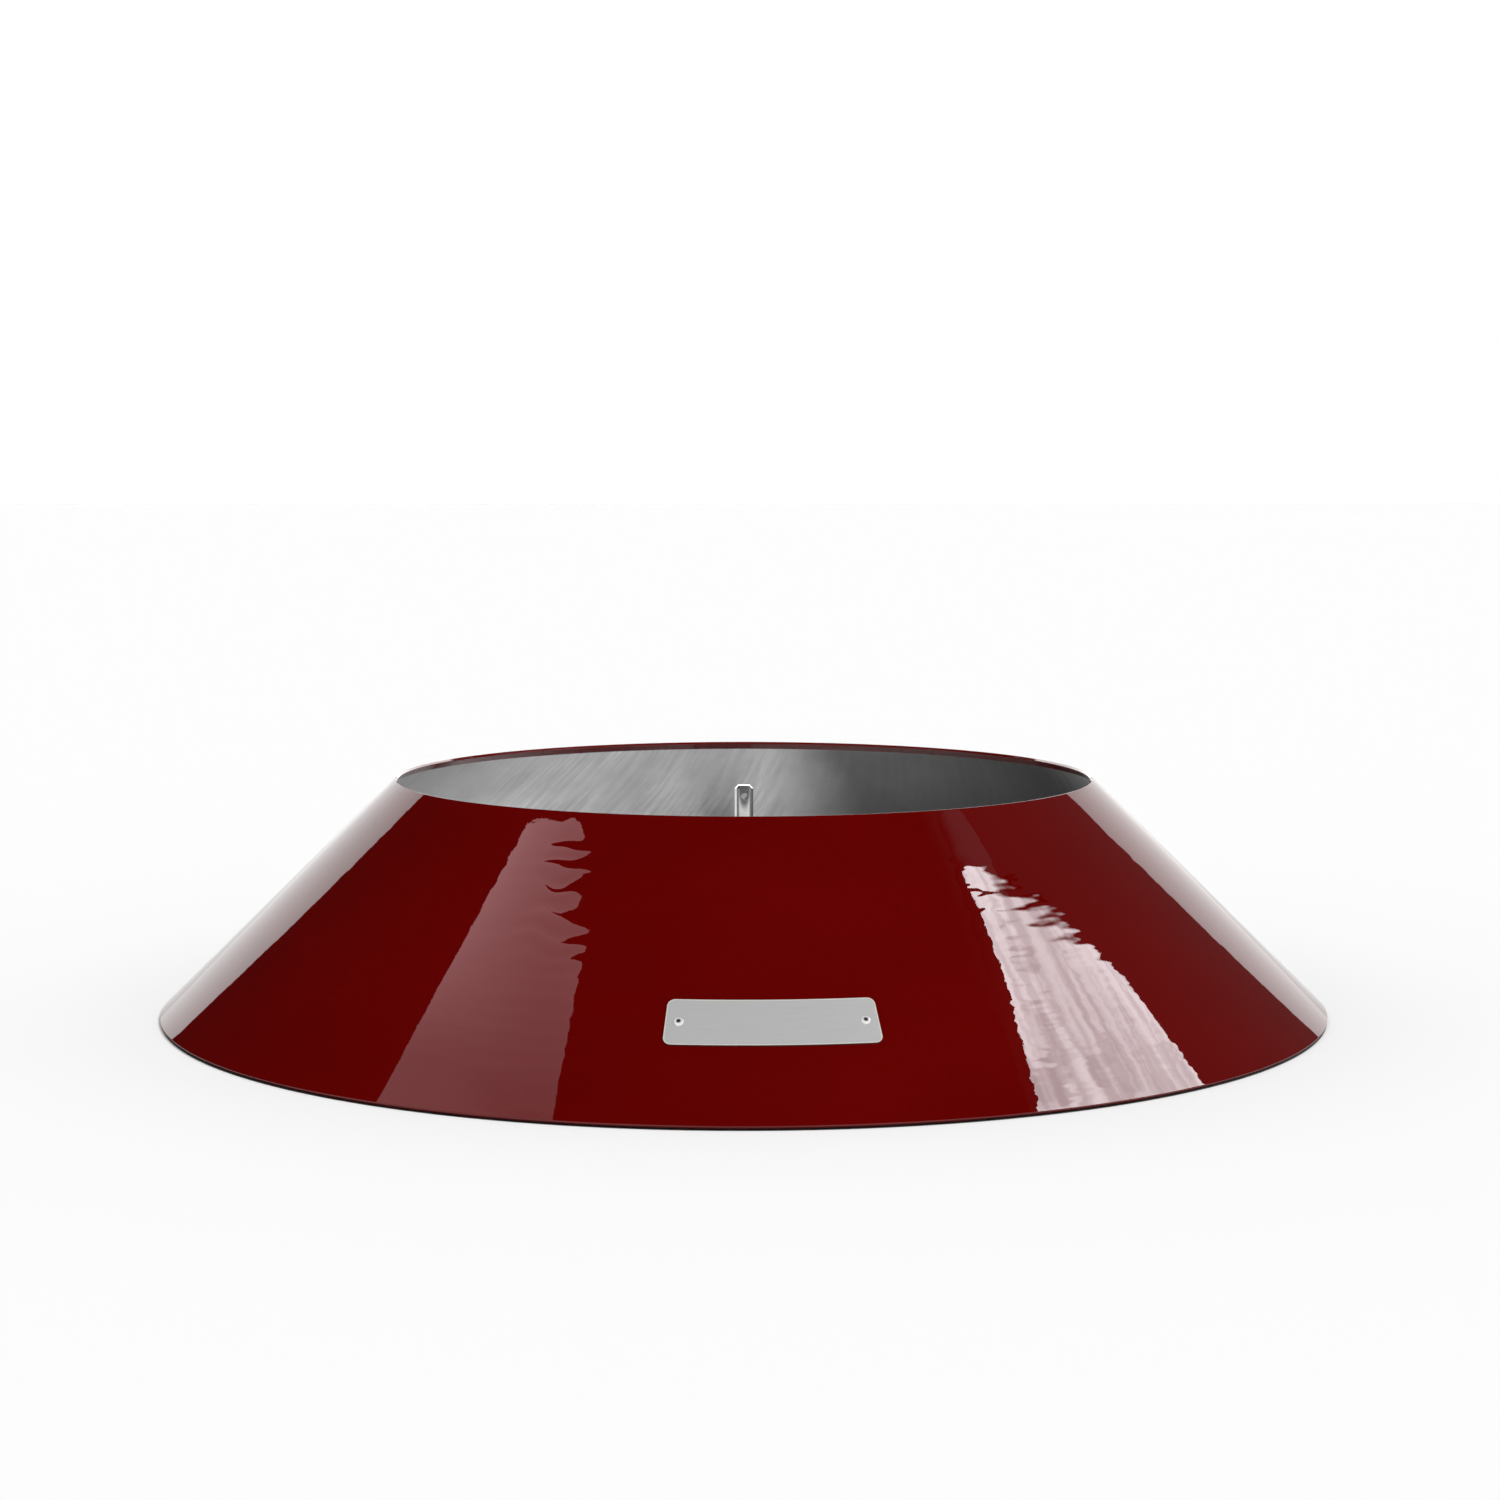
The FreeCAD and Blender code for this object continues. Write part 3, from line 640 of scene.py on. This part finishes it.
# ---------------------------------------------------------------- threads on the bolt tails
def thread_tree():
    """A rolled thread standing on each point."""
    g = Grower("bolt_threads", **{"Radius": 0.004, "Pitch": 0.00125, "Length": 0.0028})
    turns = g.div(g.given["Length"], g.given["Pitch"])
    spiral = g.node("GeometryNodeCurveSpiral")
    for name, value in (("Resolution", 28), ("Rotations", turns), ("Start Radius", g.given["Radius"]),
                        ("End Radius", g.given["Radius"]), ("Height", g.given["Length"])):
        g.feed(spiral.inputs[name], value)
    crest = g.node("GeometryNodeCurvePrimitiveCircle", mode="RADIUS")
    g.feed(crest.inputs["Resolution"], 4)
    g.feed(crest.inputs["Radius"], g.mul(g.given["Pitch"], 0.30))
    sweep = g.node("GeometryNodeCurveToMesh")
    g.feed(sweep.inputs["Curve"], spiral.outputs[0])
    g.feed(sweep.inputs["Profile Curve"], crest.outputs[0])
    g.feed(sweep.inputs["Fill Caps"], True)
    stand = g.fed("GeometryNodeInstanceOnPoints", g.given["Geometry"], None, sweep.outputs[0])
    return g.finish(stand.outputs[0], (zinc, None))


HUB_BOLT_R, HUB_BOLT_SIDE, HUB_BOLT_TAIL = 0.052, 0.0105, 0.0688
BRACKET_BOLT_R, BRACKET_BOLT_TAIL = 0.35037, 0.0638
PIN_TAIL = 0.0840


def bolt_tails():
    """Where the threaded end of each bolt starts to show."""
    spots = []
    for quarter in range(4):
        bearing = quarter * math.pi / 2
        spots += [turned((HUB_BOLT_R, side * HUB_BOLT_SIDE, HUB_BOLT_TAIL), bearing) for side in (-1, 1)]
        spots.append(turned((BRACKET_BOLT_R, 0.0, BRACKET_BOLT_TAIL), bearing))
    return spots


threads = thread_tree()
grown("bolt_threads", threads, "zinc_hardware",
      base=line_mesh("bolt_tail_points", [[spot] for spot in bolt_tails()]))
grown("pin_thread", threads, "zinc_hardware", base=line_mesh("pin_tail_point", [[(0.0, 0.0, PIN_TAIL)]]),
      Radius=0.006, Pitch=0.00175, Length=0.0026)

CAD_FINISH = {"rivet": bright_rivet, "mandrel": stem_steel,
              "centre_pin": pin_steel, "pin_": zinc, "hub_plate": brace_steel, "base_ring": brace_steel,
              "arm": brace_steel, "bracket_bolts": zinc, "bracket_washers": zinc, "bracket_nuts": zinc,
              "bracket": brace_steel, "hub_": zinc, "foot_screws": zinc, "foot_nuts": zinc, "foot": rubber}
for name, obj in nodes.items():
    if name not in ("cone_shell", "name_plate"):
        obj.data.materials.clear()
        obj.data.materials.append(next(CAD_FINISH[key] for key in CAD_FINISH if name.startswith(key)))


# ---------------------------------------------------------------- studio
def studio_turn(x, y, z=0.0):
    """A studio position, laid out about the camera's line of sight, in the part's frame."""
    c, s = math.cos(CAMERA_BEARING), math.sin(CAMERA_BEARING)
    return (x * c + y * s, -x * s + y * c, z)


def studio_world():
    world = bpy.data.worlds.new("studio")
    bpy.context.scene.world = world
    world.use_nodes = True
    f = Finish("studio", world.node_tree)
    path = f.node("ShaderNodeLightPath").outputs
    x, y, z = f.split(f.node("ShaderNodeTexCoord").outputs["Generated"])
    bearing = f.add(f.math("ARCTAN2", x, f.mul(y, -1.0)), CAMERA_BEARING)
    side = f.math("ABSOLUTE", bearing)
    angle = math.radians
    # White screens left and right of the camera, a dim wall at the right, and a dark ceiling.
    screens = f.mul(f.mul(f.span(side, angle(8), angle(16), 0.35, 1.0),
                          f.span(side, angle(90), angle(96), 1.0, 0.0)),
                    f.span(z, 0.60, 0.68, 1.0, 0.0))
    right_wall = f.mul(f.band(bearing, angle(94), angle(98), angle(150), angle(160)),
                       f.span(z, 0.83, 0.87, 1.0, 0.0))
    high_screen = f.mul(f.span(side, angle(50), angle(60), 1.0, 0.0), f.band(z, 0.62, 0.68, 0.88, 0.94))
    glow = f.add(f.mul(f.add(screens, high_screen), 0.9), f.add(f.mul(right_wall, 0.055), 0.008))
    room = f.fed("ShaderNodeBackground", grey(1.0), glow)
    # The fill comes mostly from low round the sides, so the floor darkens close to the cone.
    horizon = f.span(z, 0.0, 1.0, 1.42, 0.15, smooth=False)
    fill = f.fed("ShaderNodeBackground", grey(1.0), horizon)
    white = f.fed("ShaderNodeBackground", grey(1.0), 1.0)
    first = f.fed("ShaderNodeMixShader", path["Is Glossy Ray"], fill.outputs[0], room.outputs[0])
    second = f.fed("ShaderNodeMixShader", path["Is Camera Ray"], first.outputs[0], white.outputs[0])
    out = f.node("ShaderNodeOutputWorld")
    f.tree.links.new(second.outputs[0], out.inputs["Surface"])


def panel(name, corners, colour, strength):
    """Flat light that only reflections see; strength is a number or a function of the finish."""
    f = Finish(name)
    light = f.node("ShaderNodeEmission")
    light.inputs["Color"].default_value = colour
    f.feed(light.inputs["Strength"], strength(f) if callable(strength) else strength)
    finish = f.output(light.outputs[0])
    mesh = bpy.data.meshes.new(name)
    mesh.from_pydata([studio_turn(*corner) for corner in corners], [], [tuple(range(len(corners)))])
    mesh.materials.append(finish)
    obj = bpy.data.objects.new(name, mesh)
    bpy.context.scene.collection.objects.link(obj)
    obj.visible_camera = False
    obj.visible_diffuse = False
    obj.visible_shadow = False


def left_of_line(f, start, end):
    """How far a place on a panel lies to the left of the line from start to end."""
    ax, ay, _ = studio_turn(*start)
    bx, by, _ = studio_turn(*end)
    length = math.hypot(bx - ax, by - ay)
    nx, ny = -(by - ay) / length, (bx - ax) / length
    x, y, _ = f.split(f.place())
    return f.add(f.mul(f.sub(x, ax), nx), f.mul(f.sub(y, ay), ny))


def left_softbox(f):
    depth = left_of_line(f, (-1.80, 0.43), (-1.34, 0.0))
    across = left_of_line(f, (-1.36, 0.0), (-1.11, -0.62))
    fade = f.span(f.math("ABSOLUTE", across), 0.0, 0.60, 0.70, 1.14)
    return f.mul(fade, f.span(f.mul(depth, -1.0), 0.02, 0.50, 3.6, 1.25, smooth=False))


def right_softbox(f):
    x, y, _ = f.split(f.place())
    across = f.add(f.mul(x, 0.64), f.mul(y, 0.77))
    down = f.sub(f.mul(x, 0.77), f.mul(y, 0.64))
    bands = f.noise(f.join(f.mul(across, 7.0), f.mul(down, 3.0), 0.0), 1.0, 2.0)
    body = f.span(bands, 0.35, 0.65, 6.9, 9.8)
    # Folds of the diffusing cloth show as brighter patches along its near edge.
    folds = f.noise(f.join(f.mul(across, 2.2), f.mul(down, 7.0), 4.0), 1.0, 1.0)
    folds = f.mul(f.span(folds, 0.44, 0.54), f.span(across, 1.2, 1.7, 1.0, 0.20))
    body = f.mul(body, f.add(f.mul(folds, 0.40), 0.90))
    far_edge = f.span(x, 1.70, 3.15, 0.25, 1.22)
    return f.mul(body, f.span(f.sub(far_edge, y), -0.01, 0.08))


def right_haze(f):
    """A faint veil that fades towards its near and left edges."""
    x, y, _ = f.split(f.place())
    return f.mul(f.span(x, 1.60, 1.74), f.span(y, 0.02, 0.30, 0.05, 0.26))


def back_paper(f):
    """Brighter across its middle, where the rim's ends mirror it, and dark above that."""
    x, y, z = f.split(f.place())
    aside = f.math("ABSOLUTE", f.sub(f.mul(x, math.cos(CAMERA_BEARING)), f.mul(y, math.sin(CAMERA_BEARING))))
    above_line = f.sub(z, f.add(f.mul(aside, 0.75), 0.25))
    window = f.mul(f.mul(f.span(aside, 2.00, 2.20, 1.0, 0.0), f.span(above_line, 0.0, 0.15)),
                   f.span(z, 2.33, 2.43, 1.0, 0.0))
    top = f.mul(f.span(aside, 2.20, 2.35, 1.0, 0.0), f.span(z, 2.40, 2.48))
    lift = f.mul(window, f.span(z, 1.50, 2.40, 1.8, 3.6, smooth=False))
    return f.mul(f.add(lift, 1.25), f.sub(1.0, f.mul(top, 0.9)))


def pin_card(f):
    """Bright below the pin's chamfer and dark above it."""
    _, _, z = f.split(f.place())
    return f.span(z, 0.158, 0.168, 0.64, 0.04)


def studio_floor():
    f = Finish("studio_floor")
    path = f.node("ShaderNodeLightPath").outputs
    x, y, _ = f.split(f.place())
    radius = f.hypot(x, y)
    open_floor = f.span(radius, BASE_R - 0.0015, BASE_R - 0.0002)
    # Painted shadow: the floor in the slit under the lower edge is coloured dark.
    slit = f.mul(f.span(radius, BASE_R - 0.016, BASE_R - 0.013), f.sub(1.0, open_floor))
    seen = f.math("MAXIMUM", path["Is Camera Ray"], path["Is Glossy Ray"])
    paper = f.node("ShaderNodeBsdfDiffuse")
    shade = f.span(open_floor, 0.0, 1.0, 0.90, 0.93)
    shade = f.blend_value(slit, shade, 0.10)
    f.feed(paper.inputs["Color"], f.join(shade, shade, shade))
    glow = f.node("ShaderNodeEmission")
    f.feed(glow.inputs["Strength"], f.mul(f.mul(seen, open_floor), 0.055))
    both = f.fed("ShaderNodeAddShader", paper.outputs[0], glow.outputs[0])
    finish = f.output(both.outputs[0])
    reach = 30.0
    mesh = bpy.data.meshes.new("floor")
    mesh.from_pydata([(-reach, -reach, 0), (reach, -reach, 0), (reach, reach, 0), (-reach, reach, 0)], [],
                     [(0, 1, 2, 3)])
    mesh.materials.append(finish)
    obj = bpy.data.objects.new("floor", mesh)
    bpy.context.scene.collection.objects.link(obj)


def key_light(name, place, strength, spread):
    """Even light from one side, as soft as a large screen some way off."""
    data = bpy.data.lights.new(name, "SUN")
    data.energy = strength
    data.angle = spread
    obj = bpy.data.objects.new(name, data)
    obj.rotation_euler = Vector(studio_turn(*place)).to_track_quat("Z", "Y").to_euler()
    obj.visible_glossy = False
    obj.visible_camera = False
    bpy.context.scene.collection.objects.link(obj)


studio_world()
studio_floor()
SOFTBOX_Z, HAZE_Z = 2.50, 2.52
LEFT_SOFTBOX = ((-1.80, 0.43), (-2.50, 0.05), (-1.16, -0.90), (-1.11, -0.62), (-1.09, -0.50),
                (-1.21, -0.34), (-1.36, 0.0))
RIGHT_SOFTBOX = ((1.70, 0.13), (1.75, 0.03), (1.785, -0.10), (1.79, -0.22), (1.815, -0.28),
                 (1.80, -0.60), (3.7, 1.22), (3.6, 1.34), (2.9, 1.28), (2.3, 0.80), (2.06, 0.54),
                 (1.79, 0.26))
RIGHT_HAZE = ((1.62, 0.27), (1.64, -0.10), (1.80, -0.50), (2.00, -0.40), (2.00, 0.55), (1.84, 0.54))
panel("left_softbox", [(x, y, SOFTBOX_Z) for x, y in LEFT_SOFTBOX], (1.0, 0.61, 0.63, 1.0), left_softbox)
panel("right_softbox", [(x, y, SOFTBOX_Z) for x, y in RIGHT_SOFTBOX], (1.0, 0.97, 1.0, 1.0), right_softbox)
panel("right_haze", [(x, y, HAZE_Z) for x, y in RIGHT_HAZE], (1.0, 0.80, 0.85, 1.0), right_haze)
panel("back_paper", [(-2.56, 3.0, 0.0), (2.45, 3.0, 0.0), (2.45, 3.0, 3.2), (-2.56, 3.0, 3.2)],
      (1.0, 1.0, 1.0, 1.0), back_paper)
# Two small cards inside the mouth, for the pin to mirror.
CARD_FOOT, CARD_TOP = 0.095, 0.200
panel("pin_front_card", [(-0.173, -0.10, CARD_FOOT), (0.19, -0.055, CARD_FOOT), (0.19, -0.055, CARD_TOP),
                         (-0.173, -0.10, CARD_TOP)], (1.0, 0.98, 0.96, 1.0), pin_card)
panel("pin_left_card", [(-0.197, 0.035, CARD_FOOT), (-0.017, 0.199, CARD_FOOT), (-0.017, 0.199, CARD_TOP),
                        (-0.197, 0.035, CARD_TOP)], (1.0, 1.0, 1.0, 1.0), 0.80)
key_light("key_light", (1.6, -1.9, 2.5), 1.90, math.radians(19))

scene = bpy.context.scene
scene.view_settings.view_transform = "Standard"
